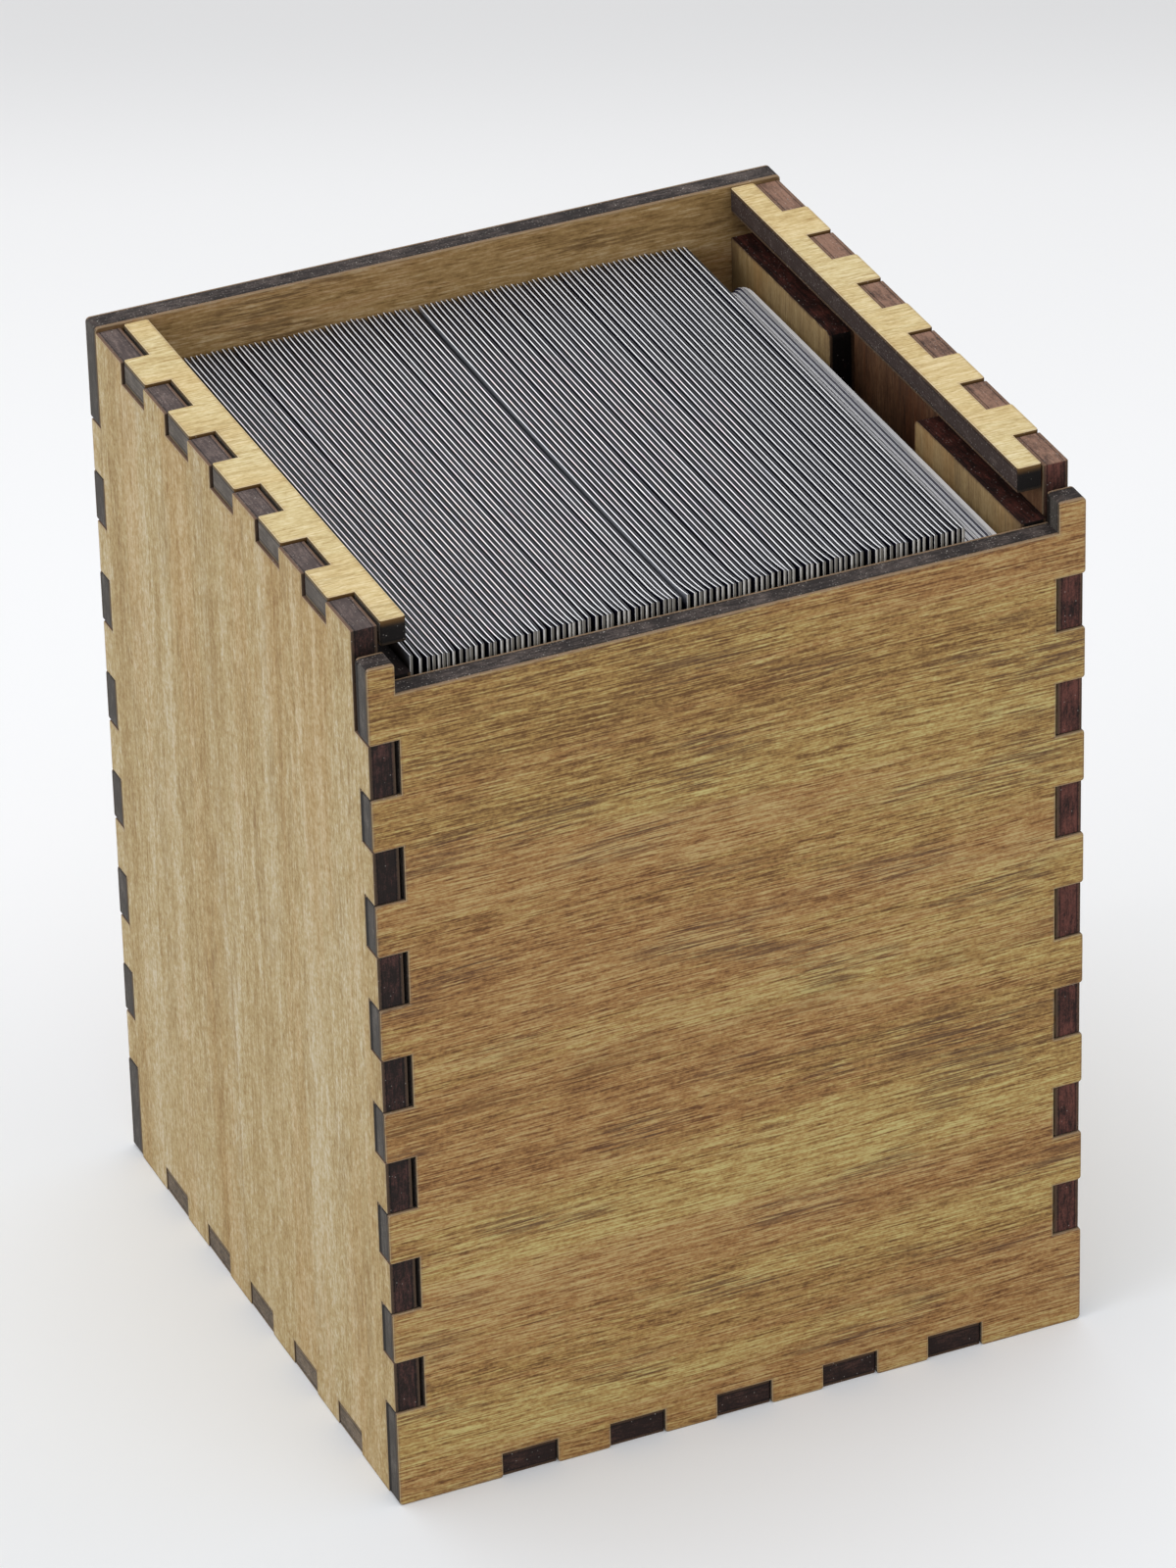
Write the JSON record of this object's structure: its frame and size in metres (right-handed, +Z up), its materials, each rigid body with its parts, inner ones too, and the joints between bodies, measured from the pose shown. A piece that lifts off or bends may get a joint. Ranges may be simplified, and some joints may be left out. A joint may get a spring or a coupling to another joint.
{
  "type": "card box",
  "caption": "Finger-jointed plywood box with a groove for a sliding lid, holding upright sleeved playing-size cards that lift out.",
  "frame": {"origin": "centre of the underside", "axes": "+Z up, -Y the front where the lid slides in, +X to the right seen from the front"},
  "size_m": [0.077, 0.074, 0.101],
  "materials": {
    "stained_plywood": "stained veneer with charred laser-cut edges, satin",
    "pale_plywood": "pale veneer with charred laser-cut edges, satin",
    "sleeved_card": "thin plastic sleeve over card, dark back, pale edges",
    "bare_card": "coated card with pale cut edges"
  },
  "bodies": {
    "box": {"front_panel": "stained_plywood", "back_panel": "stained_plywood", "left_side_panel": "stained_plywood", "right_side_panel": "stained_plywood", "bottom_panel": "stained_plywood", "left_inner_wall": "stained_plywood", "right_inner_wall": "stained_plywood", "left_lid_rail": "pale_plywood", "right_lid_rail": "pale_plywood"},
    "left_deck": {"left_deck_cards_1": "sleeved_card", "left_deck_cards_2": "sleeved_card", "left_deck_cards_3": "sleeved_card", "left_deck_cards_4": "sleeved_card"},
    "right_deck": {"right_deck_cards_1": "sleeved_card", "right_deck_cards_2": "sleeved_card", "right_deck_cards_3": "sleeved_card", "right_deck_cards_4": "sleeved_card", "right_deck_cards_5": "sleeved_card"},
    "bare_deck": {"bare_cards": "bare_card"}
  },
  "joints": [
    {"name": "left_deck_lift", "type": "slide", "parent": "box", "child": "left_deck", "axis": [0, 0, 1], "range_m": [0, 0.105]},
    {"name": "right_deck_lift", "type": "slide", "parent": "box", "child": "right_deck", "axis": [0, 0, 1], "range_m": [0, 0.105]},
    {"name": "bare_deck_lift", "type": "slide", "parent": "box", "child": "bare_deck", "axis": [0, 0, 1], "range_m": [0, 0.105]}
  ]
}
